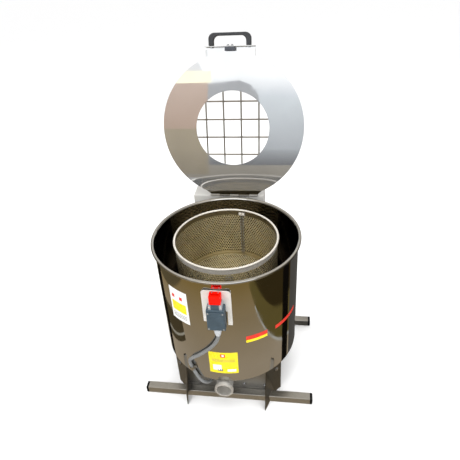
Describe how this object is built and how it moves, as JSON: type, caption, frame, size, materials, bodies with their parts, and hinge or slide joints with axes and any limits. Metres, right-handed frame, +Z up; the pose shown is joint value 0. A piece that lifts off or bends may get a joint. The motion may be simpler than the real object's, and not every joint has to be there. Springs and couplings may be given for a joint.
{
  "type": "honey extractor",
  "caption": "Floor-standing cappings centrifuge: polished tank on foot bars, belt-driven perforated basket, hinged lid with barred feed window, guard switch and bottom outlet.",
  "frame": {"origin": "on the floor, in the middle of the machine's width and of its depth with the lid open", "axes": "+Z up, -Y towards the operator, who faces the guard switch and the outlet, +X to the operator's right"},
  "size_m": [0.6406, 0.6662, 1.2052],
  "materials": {
    "mirror_steel": "mirror-polished stainless steel",
    "satin_steel": "satin stainless steel",
    "perforated_steel": "perforated stainless sheet",
    "shaft_steel": "ground shaft steel",
    "cast_metal": "cast, painted grey",
    "pale_sheet": "light grey powder-coated sheet",
    "black_plastic": "moulded black plastic",
    "slate_plastic": "moulded blue-grey plastic",
    "red_plastic": "moulded red plastic",
    "green_plastic": "moulded green plastic",
    "grey_conduit": "grey flexible conduit",
    "pale_plastic": "light grey moulded plastic",
    "rubber": "rubber drive belt"
  },
  "bodies": {
    "frame": {"front_foot_bar": "satin_steel", "rear_foot_bar": "satin_steel", "front_left_end_plug": "black_plastic", "front_right_end_plug": "black_plastic", "rear_left_end_plug": "black_plastic", "rear_right_end_plug": "black_plastic", "front_left_leg": "mirror_steel", "front_right_leg": "mirror_steel", "rear_left_leg": "mirror_steel", "rear_right_leg": "mirror_steel", "base_plate": "satin_steel", "drive_bay_skirt": "mirror_steel", "bay_grommet": "black_plastic", "belt_duct": "satin_steel", "tank_shell": "mirror_steel", "tank_floor": "satin_steel", "outlet_elbow": "satin_steel", "outlet_ring": "satin_steel", "bearing_housing": "cast_metal", "lower_bearing": "shaft_steel", "upper_bearing": "shaft_steel", "drive_belt": "rubber", "motor_shelf": "satin_steel", "motor": "cast_metal", "rear_housing": "pale_sheet", "rear_cover": "pale_sheet", "mains_gland": "black_plastic", "lower_tank_saddle": "satin_steel", "upper_tank_saddle": "satin_steel", "control_panel": "black_plastic", "switch_bracket": "mirror_steel", "switch_body": "slate_plastic", "switch_cover": "slate_plastic", "switch_head": "red_plastic", "switch_gland": "pale_plastic", "switch_conduit": "grey_conduit", "conduit_clip": "satin_steel", "hinge_fixed_leaf": "satin_steel", "hinge_pin": "shaft_steel"},
    "basket": {"basket_wall": "perforated_steel", "basket_band": "mirror_steel", "basket_floor": "perforated_steel", "basket_hub": "cast_metal", "basket_nut": "satin_steel", "basket_lap_strip": "satin_steel", "basket_clamp_plate": "mirror_steel", "spindle": "shaft_steel", "driven_wheel": "cast_metal", "wheel_nut": "satin_steel"},
    "motor_rotor": {"motor_shaft": "shaft_steel", "motor_pulley": "cast_metal"},
    "lid": {"lid_sheet": "mirror_steel", "window_grid": "satin_steel", "lid_handle": "black_plastic", "guard_key": "cast_metal", "hinge_moving_leaf": "mirror_steel"},
    "start_button": {"start_button": "green_plastic"},
    "stop_button": {"stop_button": "red_plastic"},
    "speed_knob": {"speed_knob": "black_plastic"}
  },
  "joints": [
    {"name": "lid_hinge", "type": "hinge", "parent": "frame", "child": "lid", "pos_m": [0, 0.21645, 0.6265], "axis": [1, 0, 0], "range_deg": [0, 101.9]},
    {"name": "basket_spin", "type": "hinge", "parent": "frame", "child": "basket", "pos_m": [0, -0.04255, 0], "axis": [0, 0, 1], "continuous": true},
    {"name": "motor_spin", "type": "hinge", "parent": "frame", "child": "motor_rotor", "pos_m": [0, 0.26645, 0], "axis": [0, 0, 1], "continuous": true},
    {"name": "start_press", "type": "slide", "parent": "frame", "child": "start_button", "axis": [0, -1, 0], "range_m": [0, 0.003], "stiffness_N_per_m": 500},
    {"name": "stop_press", "type": "slide", "parent": "frame", "child": "stop_button", "axis": [0, -1, 0], "range_m": [0, 0.003], "stiffness_N_per_m": 500},
    {"name": "speed_turn", "type": "hinge", "parent": "frame", "child": "speed_knob", "pos_m": [0.022, 0.31705, 0.548], "axis": [0, -1, 0], "range_deg": [-135, 135]}
  ],
  "couplings": [
    {"joint": "motor_spin", "follows": "basket_spin", "ratio": 2.3333}
  ]
}
